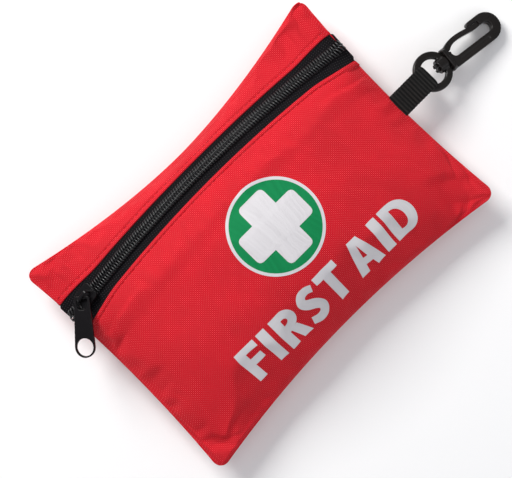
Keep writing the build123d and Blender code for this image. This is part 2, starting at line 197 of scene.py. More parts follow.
def build_uneven():
    """Slow patches: coarse noise plus a little fine noise, as a tone from dark to light."""
    tree, given, out = new_group(
        "uneven tone",
        [("Vector", "NodeSocketVector", None), ("Scale", "NodeSocketFloat", 30.0),
         ("Dark", "NodeSocketColor", (0, 0, 0, 1)), ("Light", "NodeSocketColor", (1, 1, 1, 1))],
        [("Color", "NodeSocketColor"), ("Value", "NodeSocketFloat")])
    coarse = tree.nodes.new("ShaderNodeTexNoise")
    coarse.inputs["Detail"].default_value = 4.0
    wire(tree, given.outputs["Vector"], coarse.inputs["Vector"])
    wire(tree, given.outputs["Scale"], coarse.inputs["Scale"])
    ramp = maths(tree, "MULTIPLY_ADD", coarse.outputs["Fac"], 2.2, -0.6)
    clear = maths(tree, "MINIMUM", maths(tree, "MAXIMUM", ramp, 0.0), 1.0)
    wire(tree, mix_colour(tree, clear, given.outputs["Dark"], given.outputs["Light"]),
         out.inputs["Color"])
    wire(tree, clear, out.inputs["Value"])
    return tree


WEAVE = build_weave()
UNEVEN = build_uneven()
print("groups", WEAVE.name, UNEVEN.name)


# %% A material from the groups
def place_group(tree, group, **values):
    node = tree.nodes.new("ShaderNodeGroup")
    node.node_tree = group
    for name, value in values.items():
        wire(tree, value, node.inputs[name])
    return node


def coordinates(tree, kind, turn=0.0):
    """The piece's own map ("UV") or its place in the frame ("Object"), turned about Z."""
    spot = tree.nodes.new("ShaderNodeTexCoord").outputs[kind]
    if not turn:
        return spot
    node = tree.nodes.new("ShaderNodeMapping")
    node.inputs["Rotation"].default_value = (0, 0, turn)
    wire(tree, spot, node.inputs["Vector"])
    return node.outputs[0]


def start_material(name, roughness, **settings):
    material = bpy.data.materials.new(name)
    material.use_nodes = True
    tree = material.node_tree
    shader = tree.nodes["Principled BSDF"]
    shader.inputs["Roughness"].default_value = roughness
    for key, value in settings.items():
        shader.inputs[key.replace("_", " ")].default_value = value
    return material, tree, shader


def add_bump(tree, shader, height, depth, strength=1.0):
    node = tree.nodes.new("ShaderNodeBump")
    node.inputs["Distance"].default_value = depth
    node.inputs["Strength"].default_value = strength
    wire(tree, height, node.inputs["Height"])
    wire(tree, node.outputs[0], shader.inputs["Normal"])


def cloth(name, dark, light, crown, yarn, depth, roughness=0.62, turn=0.0, spot="UV",
          under=0.8, **more):
    """Woven cloth: slow tone from dark to light, a painted highlight in the crown colour on each yarn crown, and
    their relief.
    """
    material, tree, shader = start_material(name, roughness, **more)
    vector = coordinates(tree, spot, turn)
    tone = place_group(tree, UNEVEN, Vector=vector, Scale=45.0, Dark=dark, Light=light)
    weave = place_group(tree, WEAVE, Vector=vector, Yarn=yarn, Under=under)
    # the crown colour is a painted highlight, laid on the yarn tops by the weave's mask
    colour = mix_colour(tree, weave.outputs["Mask"], tone.outputs["Color"], crown)
    wire(tree, colour, shader.inputs["Base Color"])
    add_bump(tree, shader, weave.outputs["Height"], depth)
    return material


def plain(name, dark, light, roughness, scale=60.0, grain=400.0, depth=0.00004, **more):
    """Moulded, cast, rolled or paper surface: slow tone, uneven gloss and fine grain."""
    material, tree, shader = start_material(name, roughness, **more)
    vector = coordinates(tree, "Object")
    tone = place_group(tree, UNEVEN, Vector=vector, Scale=scale, Dark=dark, Light=light)
    wire(tree, tone.outputs["Color"], shader.inputs["Base Color"])
    gloss = maths(tree, "MULTIPLY_ADD", tone.outputs["Value"], 0.12, roughness - 0.06)
    wire(tree, gloss, shader.inputs["Roughness"])
    add_bump(tree, shader, noise(tree, vector, grain, 2.0), depth)
    return material


YARN = 0.00072
# the third colour of each woven cloth is a painted highlight on its yarn crowns
RED = cloth("red oxford cloth", (0.54, 0.000, 0.008, 1), (0.66, 0.000, 0.011, 1),
            (1.0, 0.21, 0.23, 1), YARN, 0.0003, under=0.55, Specular_IOR_Level=0.05)
# the thread's own red, darkened to paint the shade of the groove it lies in
RED_THREAD_PAINTED_SHADE = plain("red thread", (0.25, 0.001, 0.006, 1), (0.42, 0.002, 0.012, 1), 0.6,
                   Specular_IOR_Level=0.2)
# the tape's crown colour is a painted highlight on its yarn tops
TAPE = cloth("black twill tape", (0.002, 0.002, 0.003, 1), (0.005, 0.004, 0.005, 1),
             (0.060, 0.054, 0.060, 1), 0.0009, 0.0003, roughness=0.75, turn=0.6,
             Specular_IOR_Level=0.08)
COIL = plain("black nylon coil", (0.003, 0.003, 0.004, 1), (0.008, 0.008, 0.009, 1), 0.32,
             Coat_Weight=0.1, Coat_Roughness=0.2)
ENAMEL = plain("black enamel", (0.003, 0.0025, 0.003, 1), (0.006, 0.005, 0.006, 1), 0.28,
               Coat_Weight=0.05, Specular_IOR_Level=0.2)
RIB = 1.8                 # millimetres from rib to rib of the webbing


def webbing_finish():
    """Black webbing: the weft's ribs are cosines of the length; the grooves between get painted shade and the yarn
    crowns a painted highlight.
    """
    material, tree, shader = start_material("black webbing", 0.5, Specular_IOR_Level=0.15)
    vector = coordinates(tree, "UV")
    split = tree.nodes.new("ShaderNodeSeparateXYZ")
    wire(tree, vector, split.inputs[0])
    wave = maths(tree, "ABSOLUTE", maths(tree, "COSINE", maths(
        tree, "MULTIPLY", split.outputs["X"], math.pi / (RIB * 0.001))))
    rib = maths(tree, "POWER", wave, 2.5)
    weave = place_group(tree, WEAVE, Vector=vector, Yarn=0.00045, Under=0.6)
    tone = place_group(tree, UNEVEN, Vector=vector, Scale=60.0, Dark=(0.005, 0.004, 0.004, 1),
                       Light=(0.011, 0.010, 0.009, 1))
    # the tone with a painted highlight on the yarn crowns
    lit = mix_colour(tree, weave.outputs["Mask"], tone.outputs["Color"], (0.09, 0.084, 0.08, 1))
    # near black in the grooves: painted shade between the ribs
    wire(tree, mix_colour(tree, rib, (0.001, 0.001, 0.001, 1), lit), shader.inputs["Base Color"])
    add_bump(tree, shader, weave.outputs["Height"], 0.00014)
    return material


WEBBING = webbing_finish()
HOOK = plain("black hook plastic", (0.006, 0.005, 0.0045, 1), (0.013, 0.0105, 0.0095, 1), 0.28,
             grain=900.0, depth=0.00005, Specular_IOR_Level=0.25)
# the crown colours of the prints are painted highlights on the yarn tops under the ink
WHITE_PRINT = cloth("white print", (0.60, 0.58, 0.60, 1), (0.66, 0.64, 0.66, 1),
                    (0.76, 0.75, 0.76, 1), YARN, 0.00016, roughness=0.6, under=0.5,
                    Specular_IOR_Level=0.1)
GREEN_PRINT = cloth("green print", (0.004, 0.19, 0.06, 1), (0.006, 0.23, 0.075, 1),
                    (0.02, 0.33, 0.12, 1), YARN, 0.00016, roughness=0.6, under=0.5,
                    Specular_IOR_Level=0.1)
FLOOR = plain("pale floor", (0.86, 0.86, 0.86, 1), (0.88, 0.88, 0.88, 1), 0.6, scale=3.0)
floor.data.materials.append(FLOOR)
print("finishes", len(bpy.data.materials))

# %% [markdown]
# ## The stuffed shape
# The filling lifts the cloth into a crown and draws its long sides in, so that the corners stand
# out as ears. The front is a height over the plan; near the zip it turns into the tape's plane.


# %% Sizes of the pouch, in millimetres
HALF_L, HALF_W = 96.4, 68.9
FRONT_RISE, BACK_DROP, SEAM_LIFT = 29.0, 20.5, 1.0
PULL_ZIP_SIDE, PULL_TEXT_SIDE, PULL_ENDS = 13.4, 8.4, 3.5
CORNER = 6.5
ZIP_HALF, ZIP_BOW, ZIP_RISE = 88.0, 4.6, 13.4
ZIP_MID = np.array([0.0, 41.6, 35.2])
ZIP_SAG = math.hypot(ZIP_BOW, ZIP_RISE)
ZIP_R = (ZIP_HALF ** 2 + ZIP_SAG ** 2) / (2 * ZIP_SAG)
ZIP_LEAN = math.atan2(ZIP_BOW, ZIP_RISE)
TAPE_LIFT = 0.6
HEM, HEM_END = 7.7, 10.0  # from the middle of the zip to the folded edge, and at its ends


def smooth(u):
    u = np.clip(u, 0, 1)
    return u * u * (3 - 2 * u)


def zip_line(x):
    """y and z of the zip: an arc of a circle in a plane that leans towards +Y."""
    drop = ZIP_R - np.sqrt(ZIP_R ** 2 - x ** 2)
    return ZIP_MID[1] - drop * math.sin(ZIP_LEAN), ZIP_MID[2] - drop * math.cos(ZIP_LEAN)


def hem_reach(x):
    """Half width of the black band: it widens where the hems turn out into the side seams."""
    return HEM + (HEM_END - HEM) * smooth((np.abs(x) - 66) / 26)


def zip_tilt(x):
    """Slope of the tape across the zip: steepest in the middle, where the pouch is fullest."""
    return ZIP_LEAN + math.radians(13) * (1 - np.clip(np.abs(x) / 78, 0, 1) ** 2)


def plan_point(a, b):
    """Plan of the pouch for a along and b across, both from -1 to 1: a rectangle with its sides
    drawn in and its corners rounded by the square-to-disc map."""
    def corner(p, q, size_p, size_q):
        rp, rq = CORNER / size_p, CORNER / size_q
        dp = np.clip((np.abs(p) - (1 - rp)) / rp, 0, 1)
        dq = np.clip((np.abs(q) - (1 - rq)) / rq, 0, 1)
        moved = 1 - rp + rp * dp * np.sqrt(1 - dq ** 2 / 2)
        return np.where(dp * dq > 0, np.sign(p) * moved, p)
    ra, rb = corner(a, b, HALF_L, HALF_W), corner(b, a, HALF_W, HALF_L)
    x = ra * (HALF_L - PULL_ENDS * (1 - rb ** 2))
    high = HALF_W - PULL_ZIP_SIDE * (1 - np.abs(ra) ** 1.8)
    low = -HALF_W + PULL_TEXT_SIDE * (1 - ra ** 2)
    return x, low + (high - low) * (rb + 1) / 2


def wander(x, y, seed, size, count=7):
    """Slow smooth unevenness from -1 to 1: a sum of waves in random directions."""
    dice = np.random.default_rng(seed)
    total = np.zeros(np.broadcast(x, y).shape)
    for _ in range(count):
        way, phase = dice.uniform(0, 2 * np.pi, 2)
        rate = 2 * np.pi / (size * dice.uniform(0.7, 1.6))
        total += np.sin((x * np.cos(way) + y * np.sin(way)) * rate + phase)
    return total / math.sqrt(count)


def corner_folds(x, y, seed, depth):
    """Folds that run from each ear towards the middle and fade out."""
    total = np.zeros(np.broadcast(x, y).shape)
    dice = np.random.default_rng(seed)
    for sx in (-1, 1):
        for sy in (-1, 1):
            dx, dy = sx * HALF_L - x, sy * HALF_W - y
            far = np.hypot(dx, dy)
            angle = np.arctan2(np.abs(dy), np.abs(dx))
            count, phase = dice.uniform(6, 8), dice.uniform(0, 6.28)
            reach = np.exp(-((far - 30) / 20) ** 2)
            total += depth * np.sin(angle * count + phase) * reach
    return total


def puckers(x, y, a, b, seed, depth):
    """Short ripples across the side seams, where the stitching gathers the cloth."""
    from_long = (1 - np.abs(b)) * HALF_W
    from_short = (1 - np.abs(a)) * HALF_L
    along_x = np.sin(x * 2 * np.pi / 13 + 1.5 * wander(x, y, seed, 40))
    along_y = np.sin(y * 2 * np.pi / 12 + 1.5 * wander(x, y, seed + 1, 40))
    ripple = along_x * np.exp(-from_long / 7) * smooth(from_long / 3)
    ripple += along_y * np.exp(-from_short / 7) * smooth(from_short / 3)
    return depth * ripple


def edge_fade(a, b):
    """0 on the seam, 1 just inside it."""
    return np.sqrt(np.clip((1 - np.maximum(np.abs(a), np.abs(b))) / 0.03, 0, 1))


def front_height(a, b):
    """Height of the front cloth at a and b."""
    x, y = plan_point(a, b)
    full = np.clip(1 - a ** 2, 0, 1) ** 0.9
    crown = np.clip(1 - np.abs(b) ** 2.4, 0, 1) ** np.where(b < 0, 0.72, 0.75)
    pillow = SEAM_Z + (SEAM_LIFT + (FRONT_RISE - SEAM_LIFT) * full) * crown
    bumps = 0.55 * wander(x, y, 3, 46) + corner_folds(x, y, 5, 1.3)
    pillow = pillow + (bumps + puckers(x, y, a, b, 11, 0.45)) * edge_fade(a, b)
    zip_y, zip_z = zip_line(x)
    away = np.abs(y - zip_y)
    tape = zip_z + TAPE_LIFT - (y - zip_y) * np.tan(zip_tilt(x))
    near = smooth((27 - away) / 17) * smooth((93 - np.abs(x)) / 9)
    near = near * smooth((1 - b) * HALF_W / 8)
    height = pillow * (1 - near) + tape * near
    return SEAM_Z + (height - SEAM_Z) * edge_fade(a, b)


def back_height(a, b):
    """Height of the back cloth: a shallow dish, pressed flat where the pouch rests."""
    x, y = plan_point(a, b)
    full = np.clip(1 - a ** 4, 0, 1) ** 0.7
    crown = np.clip(1 - b ** 4, 0, 1) ** 0.7
    dish = SEAM_Z - (SEAM_LIFT + (BACK_DROP - SEAM_LIFT) * full) * crown
    bumps = 0.5 * wander(x, y, 23, 50) + corner_folds(x, y, 29, 0.8)
    dish = dish - (bumps + puckers(x, y, a, b, 31, 0.45)) * edge_fade(a, b)
    dish = SEAM_Z + (dish - SEAM_Z) * edge_fade(a, b)
    soft = 1.2
    return 0.05 + soft * np.log1p(np.exp(np.clip(dish / soft, -30, 30))) * (dish < 12) + \
        (dish - 0.05) * (dish >= 12)


# %% Meshes from grids
def grid_faces(rows, cols, wrap_rows=False, wrap_cols=False):
    """Four-sided faces between neighbours of a rows x cols grid of points."""
    i = np.arange(rows if wrap_rows else rows - 1)
    j = np.arange(cols if wrap_cols else cols - 1)
    i, j = (k.ravel() for k in np.meshgrid(i, j, indexing="ij"))
    down, side = (i + 1) % rows, (j + 1) % cols
    return np.stack([i * cols + j, down * cols + j, down * cols + side, i * cols + side], -1)


def add_mesh(name, points, faces, material, flat=None, flip=False, caps=0):
    """A mesh object from points in millimetres; flat gives each point's place on the cloth.
    A tube is closed by its first and last rings, of caps points each."""
    if flip:
        faces = faces[:, ::-1]
    sides, count = faces.tolist(), points.size // 3
    if caps:
        sides += [list(range(caps)), list(range(count - caps, count))[::-1]]
    mesh = bpy.data.meshes.new(name)
    mesh.from_pydata((points.reshape(-1, 3) * MM).tolist(), [], sides)
    if flat is not None:
        corners = np.empty(len(mesh.loops), dtype=int)
        mesh.loops.foreach_get("vertex_index", corners)
        layer = mesh.uv_layers.new(name="cloth")
        layer.data.foreach_set("uv", (flat.reshape(-1, 2)[corners] * MM).ravel())
    mesh.polygons.foreach_set("use_smooth", np.ones(len(mesh.polygons), bool))
    mesh.materials.append(material)
    piece = bpy.data.objects.new(name, mesh)
    bpy.context.scene.collection.objects.link(piece)
    print(name, "points", len(mesh.vertices), "faces", len(mesh.polygons))
    return piece


def thicken(piece, thickness, offset=-1.0):
    modifier = piece.modifiers.new("thickness", "SOLIDIFY")
    modifier.thickness = thickness * MM
    modifier.offset = offset
    return piece


def spread(count, crowd=0.35):
    """count values from 0 to 1, closer together towards both ends."""
    t = np.linspace(0, 1, count)
    return t - crowd * np.sin(2 * np.pi * t) / (2 * np.pi)


def cloth_flat(points):
    """Flat coordinates of a grid of cloth: x, and the length along the cloth across it."""
    step = np.linalg.norm(np.diff(points, axis=1), axis=2)
    across = np.concatenate([np.zeros((len(points), 1)), np.cumsum(step, axis=1)], axis=1)
    return np.stack([points[..., 0], across], -1)


# %% [markdown]
# ## Cloth panels
# The front is two panels. Each stops at the zip in a hem: the cloth is folded under and stitched
# down on the tape. The hem's edge is rolled by carrying the grid round and under itself.

# %% Letting the cloth settle
CAP_MOVE = 1.6            # millimetres that a point may move from the worked-out shape
TEN_TIMES = 10 * MM
SETTLE_FRAMES = 20


def settle(points, held, slack=0.03, pressure=0.6):
    """The cloth is cut a little larger than the shape, held at its seams and pressed out from
    inside, so it finds its own puckers. It runs at ten times the size, and the result is
    the small move of each point, at most CAP_MOVE."""
    step = 2
    coarse, fixed = points[::step, ::step], held[::step, ::step]
    rows, cols = coarse.shape[:2]
    mesh = bpy.data.meshes.new("settling")
    mesh.from_pydata((coarse.reshape(-1, 3) * TEN_TIMES).tolist(), [], grid_faces(rows, cols).tolist())
    piece = bpy.data.objects.new("settling", mesh)
    bpy.context.scene.collection.objects.link(piece)
    group = piece.vertex_groups.new(name="held")
    for level in range(1, 11):
        chosen = np.flatnonzero(np.round(fixed.ravel() * 10) == level)
        group.add(chosen.tolist(), level / 10, "REPLACE")
    cloth_modifier = piece.modifiers.new("cloth", "CLOTH")
    rules = cloth_modifier.settings
    rules.quality = 6
    rules.mass = 0.3
    rules.tension_stiffness = 25
    rules.compression_stiffness = 25
    rules.shear_stiffness = 6
    rules.bending_stiffness = 0.4
    rules.vertex_group_mass = "held"
    rules.pin_stiffness = 4
    rules.shrink_min = -slack
    rules.use_pressure = True
    rules.uniform_pressure_force = pressure
    rules.effector_weights.gravity = 0
    cloth_modifier.collision_settings.use_collision = False
    for number in range(1, SETTLE_FRAMES + 1):
        bpy.context.scene.frame_set(number)
    after = np.empty(coarse.size)
    shown = piece.evaluated_get(bpy.context.evaluated_depsgraph_get())
    shown.data.vertices.foreach_get("co", after)
    bpy.context.scene.frame_set(1)
    bpy.data.objects.remove(piece)
    move = after.reshape(coarse.shape) / TEN_TIMES - coarse
    length = np.linalg.norm(move, axis=2, keepdims=True)
    print("settled by", round(float(length.mean()), 2), "mm, at most", round(float(length.max()), 2))
    move *= np.minimum(1, CAP_MOVE / np.maximum(length, 1e-6)) * (1 - fixed[..., None])
    row = np.arange(points.shape[0]) / step
    col = np.arange(points.shape[1]) / step
    i = np.minimum(row.astype(int), rows - 2)[:, None]
    j = np.minimum(col.astype(int), cols - 2)[None]
    u = np.minimum(row[:, None] - i, 1)[..., None]
    v = np.minimum(col[None] - j, 1)[..., None]
    fine = ((move[i, j] * (1 - u) + move[i + 1, j] * u) * (1 - v)
            + (move[i, j + 1] * (1 - u) + move[i + 1, j + 1] * u) * v)
    for _ in range(2):
        fine[1:-1] = (fine[:-2] + 2 * fine[1:-1] + fine[2:]) / 4
        fine[:, 1:-1] = (fine[:, :-2] + 2 * fine[:, 1:-1] + fine[:, 2:]) / 4
    return points + fine


# %% Front panels and back
HEM_ROUND, HEM_TUCK, HEM_STEPS = 0.55, 3.0, 7
STITCH_LINE, GROOVE = 2.0, 0.5   # from the folded edge, and how deep the thread draws in
FRONT_ROWS, FRONT_COLS, STRIP_COLS = 260, 170, 56
BACK_ROWS, BACK_COLS = 200, 150
CROWD_LONG, CROWD_WIDE = 0.5, 0.6


def beside_zip(a, side, inward=0.0):
    """The b on the folded edge at a, or inward of it, found by halving, as y grows with b."""
    low, high = np.full_like(a, -1.0), np.ones_like(a)
    for _ in range(30):
        middle = (low + high) / 2
        x, y = plan_point(a, middle)
        goal = zip_line(x)[0] + side * (hem_reach(x) - inward) * np.cos(zip_tilt(x))
        below = y < goal
        low, high = np.where(below, middle, low), np.where(below, high, middle)
    return (low + high) / 2


def front_panel(name, side, rows, cols):
    """One front panel from its seam to its hem, with the hem rolled under by HEM_TUCK."""
    a = 2 * spread(rows, CROWD_LONG) - 1
    hem = beside_zip(a, side)
    seam = np.full_like(a, side)
    share = spread(cols, CROWD_WIDE)
    b = seam[:, None] + (hem - seam)[:, None] * share
    grid_a = np.repeat(a[:, None], cols, 1)
    x, y = plan_point(grid_a, b)
    points = np.stack([x, y, front_height(grid_a, b)], -1)
    to_hem = np.linalg.norm(points - points[:, -1:], axis=2)
    to_edge = np.minimum((1 - np.abs(grid_a)) * HALF_L, np.abs(b - side) * HALF_W)
    held = np.maximum(1 - smooth((to_hem - 3) / 7), 1 - smooth(to_edge / 2.5))
    points = settle(points, held)
    ends = smooth((93 - np.abs(x)) / 5)
    points[..., 2] -= GROOVE * np.exp(-((to_hem - STITCH_LINE) / 0.5) ** 2) * ends
    points[..., 2] += 0.22 * smooth((1.9 - to_hem) / 0.7) * ends
    tilt = zip_tilt(x[:, -1])
    across = np.stack([0 * tilt, np.cos(tilt), -np.sin(tilt)], -1) * -side
    outward = np.stack([0 * tilt, np.sin(tilt), np.cos(tilt)], -1)
    turn = np.linspace(0, np.pi, HEM_STEPS)[1:]
    curl = [points[:, -1] + HEM_ROUND * (np.sin(t) * across - (1 - np.cos(t)) * outward)
            for t in turn]
    curl.append(curl[-1] - HEM_TUCK * across)
    points = np.concatenate([points, np.stack(curl, 1)], axis=1)
    piece = add_mesh(name, points, grid_faces(rows, points.shape[1]), RED,
                     cloth_flat(points), flip=side > 0)
    return piece, points


front_cloth, front_points = front_panel("front_cloth", -1, FRONT_ROWS, FRONT_COLS)
strip_cloth, strip_points = front_panel("upper_strip_cloth", 1, FRONT_ROWS, STRIP_COLS)
grid_a, grid_b = np.meshgrid(2 * spread(BACK_ROWS, CROWD_LONG) - 1,
                             2 * spread(BACK_COLS, CROWD_WIDE) - 1, indexing="ij")
back_x, back_y = plan_point(grid_a, grid_b)
back_points = np.stack([back_x, back_y, back_height(grid_a, grid_b)], -1)
to_edge = np.minimum((1 - np.abs(grid_a)) * HALF_L, (1 - np.abs(grid_b)) * HALF_W)
resting = 1 - smooth((back_points[..., 2] - 0.6) / 3)
back_points = settle(back_points, np.maximum(1 - smooth(to_edge / 2.5), resting), pressure=-0.6)
back_points[..., 2] = np.maximum(back_points[..., 2], 0.05)
back_cloth = add_mesh("back_cloth", back_points, grid_faces(BACK_ROWS, BACK_COLS), RED,
                      cloth_flat(back_points), flip=True)
for piece, node in ((front_cloth, "front_panel"), (strip_cloth, "front_upper_strip"),
                    (back_cloth, "back_panel")):
    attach(piece, "pouch")
    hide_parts(node)

# %% [markdown]
# ## The zip
# A coil zip is two woven tapes, each with a nylon wire wound in a spiral and sewn to its edge.
# The two spirals interlock half a turn apart. A spiral is a circle carried along the line of
# the zip, so each row is one tube round a stretched helix, and the tapes are thin sheets.


# %% Tapes
TAPE_DEEP = 0.62


def tape(name, side, rows=240, cols=22):
    """A tape from the middle of the zip to 2 mm under the hem, just below the cloth."""
    a = 2 * spread(rows, 0.5) - 1
    middle = beside_zip(a, 0, 0.0)
    inner = middle + (beside_zip(a, side) - middle) * 0.03
    outer = beside_zip(a, side, -2.2)
    b = inner[:, None] + (outer - inner)[:, None] * np.linspace(0, 1, cols)
    grid_a = np.repeat(a[:, None], cols, 1)
    x, y = plan_point(grid_a, b)
    sink = TAPE_DEEP * smooth((1 - np.abs(grid_a)) / 0.02)
    seen = smooth((0.74 - np.linspace(0, 1, cols)) / 0.1)
    x = x + 0.9 * np.sign(grid_a) * smooth((np.abs(grid_a) - 0.96) / 0.04) * seen
    points = np.stack([x, y, front_height(grid_a, b) - sink], -1)
    flip = side < 0
    piece = add_mesh(name, points, grid_faces(rows, cols), TAPE, cloth_flat(points), flip)
    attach(thicken(piece, 0.4), "pouch")
    return piece


tape_lower = tape("zip_tape_text_side", -1)
tape_upper = tape("zip_tape_zip_side", 1)
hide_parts("zip_tape_lower")
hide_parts("zip_tape_upper")

# %% Coils
COIL_PITCH, WIRE_R = 1.45, 0.43
COIL_OFF, COIL_HALF_W, COIL_HALF_H = 1.46, 1.44, 0.76
ROUND_TURN, ROUND_WIRE = 16, 7
COIL_STRAIGHT, COIL_REACH = 88.0, 93.6


def zip_frames(x):
    """Places on the zip at x: the point on the tape, the way across it and the way up."""
    inside = np.clip(x, -COIL_STRAIGHT, COIL_STRAIGHT)
    a = inside / (HALF_L - PULL_ENDS * 0.7)
    b = beside_zip(a, 0)
    y, over = plan_point(a, b)[1], np.abs(x) - np.abs(inside)
    place = np.stack([x, y, front_height(a, b) - TAPE_DEEP - 0.17 * over - 0.08 * over ** 2], -1)
    tilt = zip_tilt(x)
    across = np.stack([0 * x, np.cos(tilt), -np.sin(tilt)], -1)
    along = np.gradient(place, axis=0)
    along /= np.linalg.norm(along, axis=1)[:, None]
    across -= (across * along).sum(1)[:, None] * along
    across /= np.linalg.norm(across, axis=1)[:, None]
    return place, across, np.cross(along, across)


def tube(path, radius, sides):
    """Rings of points round a path, on two directions at right angles to it."""
    along = np.gradient(path, axis=0)
    along /= np.linalg.norm(along, axis=1)[:, None]
    hint = np.array([0.31, 0.05, 0.95])
    first = np.cross(along, hint)
    first /= np.linalg.norm(first, axis=1)[:, None]
    second = np.cross(along, first)
    turn = np.linspace(0, 2 * np.pi, sides, endpoint=False)
    ring = np.cos(turn)[:, None] * first[:, None] + np.sin(turn)[:, None] * second[:, None]
    return path[:, None] + radius * ring


def coil(name, side, phase):
    """One row: up is sin t, and across is cos t raised to a power a little below 1 with its
    sign kept, which fills the turns out sideways; t grows along the zip."""
    reach = COIL_REACH
    turns = 2 * reach / COIL_PITCH
    t = np.linspace(0, 2 * np.pi * turns, int(turns * ROUND_TURN))
    place, across, up = zip_frames(-reach + COIL_PITCH * t / (2 * np.pi))
    t = t + phase
    flat, tall = np.cos(t), np.sin(t)
    wide = side * (COIL_OFF - COIL_HALF_W * np.sign(flat) * np.abs(flat) ** 0.85)
    high = 0.42 + COIL_HALF_H + COIL_HALF_H * tall
    path = place + wide[:, None] * across + high[:, None] * up
    points = tube(path, WIRE_R, ROUND_WIRE)
    faces = grid_faces(len(points), ROUND_WIRE, wrap_cols=True)
    piece = add_mesh(name, points, faces, COIL, caps=ROUND_WIRE)
    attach(piece, "pouch")
    return piece


coil_lower = coil("zip_coil_text_side", -1, 0.0)
coil_upper = coil("zip_coil_zip_side", 1, math.pi)
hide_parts("zip_coil_lower")
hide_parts("zip_coil_upper", "zip_end_stops")

# %% [markdown]
# ## Stitching
# Each hem is held by one row of red thread. A stitch is a short rounded bar, the same
# few faces repeated, pressed a little into the groove that the thread draws in the cloth.


# %% Stitches along both hems
def stitches(name, points, side, from_hem=STITCH_LINE, length=2.3, step=2.9, radius=0.2):
    """Capsules on the row of the grid that lies from_hem inside the folded edge."""
    edge = points[:, -HEM_STEPS - 1]
    away = np.linalg.norm(points[:, :-HEM_STEPS] - edge[:, None], axis=2)
    column = np.abs(away - from_hem).argmin(1)
    line = points[np.arange(len(points)), column]
    run = np.concatenate([[0], np.cumsum(np.linalg.norm(np.diff(line, axis=0), axis=1))])
    starts = np.arange(2.0, run[-1] - length - 2.0, step)
    knots = np.array([0, 0.12, 0.3, 0.5, 0.7, 0.88, 1.0])
    size = radius * np.array([0.35, 0.85, 1, 1, 1, 0.85, 0.35])
    sink = np.array([0.12, 0.02, -0.04, -0.06, -0.04, 0.02, 0.12])
    where = starts[:, None] + knots * length
    centre = np.stack([np.interp(where, run, line[:, k]) for k in range(3)], -1)
    tilt = zip_tilt(centre[..., 0])
    up = np.stack([0 * tilt, np.sin(tilt), np.cos(tilt)], -1)
    along = np.gradient(centre, axis=1)
    along /= np.linalg.norm(along, axis=2)[..., None]
    across = np.cross(along, up)
    centre = centre - up * sink[:, None]
    turn = np.linspace(0, 2 * np.pi, 6, endpoint=False)
    ring = (np.cos(turn)[:, None] * across[:, :, None] + np.sin(turn)[:, None] * up[:, :, None])
    bars = centre[:, :, None] + size[None, :, None, None] * ring
    one = grid_faces(len(knots), 6, wrap_cols=True)
    faces = (one[None] + (np.arange(len(starts)) * len(knots) * 6)[:, None, None]).reshape(-1, 4)
    piece = add_mesh(name, bars, faces, RED_THREAD_PAINTED_SHADE)
    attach(piece, "pouch")
    return piece


stitches("stitches_text_side", front_points, -1)
stitches("stitches_zip_side", strip_points, 1)

# %% [markdown]
# ## Prints
# The print is ink on the cloth, so it takes the cloth's crown, its dents and its weave. Flat
# outlines are cut into small cells and laid on the panel: each point looks up where its
# cell of the cloth has gone, and rises a little over a tenth of a millimetre off it.


# %% Laying a flat shape on the front panel
PRINT_T = 0.05


def plan_inverse(x, y):
    """a and b of a plan point away from the corners, by a few rounds of substitution."""
    b = np.zeros_like(x)
    for _ in range(8):
        a = x / (HALF_L - PULL_ENDS * (1 - b ** 2))
        high = HALF_W - PULL_ZIP_SIDE * (1 - np.abs(a) ** 1.8)
        low = -HALF_W + PULL_TEXT_SIDE * (1 - a ** 2)
        b = 2 * (y - low) / (high - low) - 1
    return a, b


def on_front(x, y):
    """Point and flat coordinates of the front panel over x and y, between its grid points."""
    a, b = plan_inverse(x, y)
    rows, cols = FRONT_ROWS, FRONT_COLS
    row = np.interp(a, 2 * spread(rows, CROWD_LONG) - 1, np.arange(rows))
    share = (b + 1) / (beside_zip(a, -1) + 1)
    col = np.interp(share, spread(cols, CROWD_WIDE), np.arange(cols))
    i, j = np.minimum(row.astype(int), rows - 2), np.minimum(col.astype(int), cols - 2)
    u, v = (row - i)[:, None], (col - j)[:, None]
    both = np.concatenate([front_points, cloth_flat(front_points)], -1)
    return ((both[i, j] * (1 - u) + both[i + 1, j] * u) * (1 - v)
            + (both[i, j + 1] * (1 - u) + both[i + 1, j + 1] * u) * v)


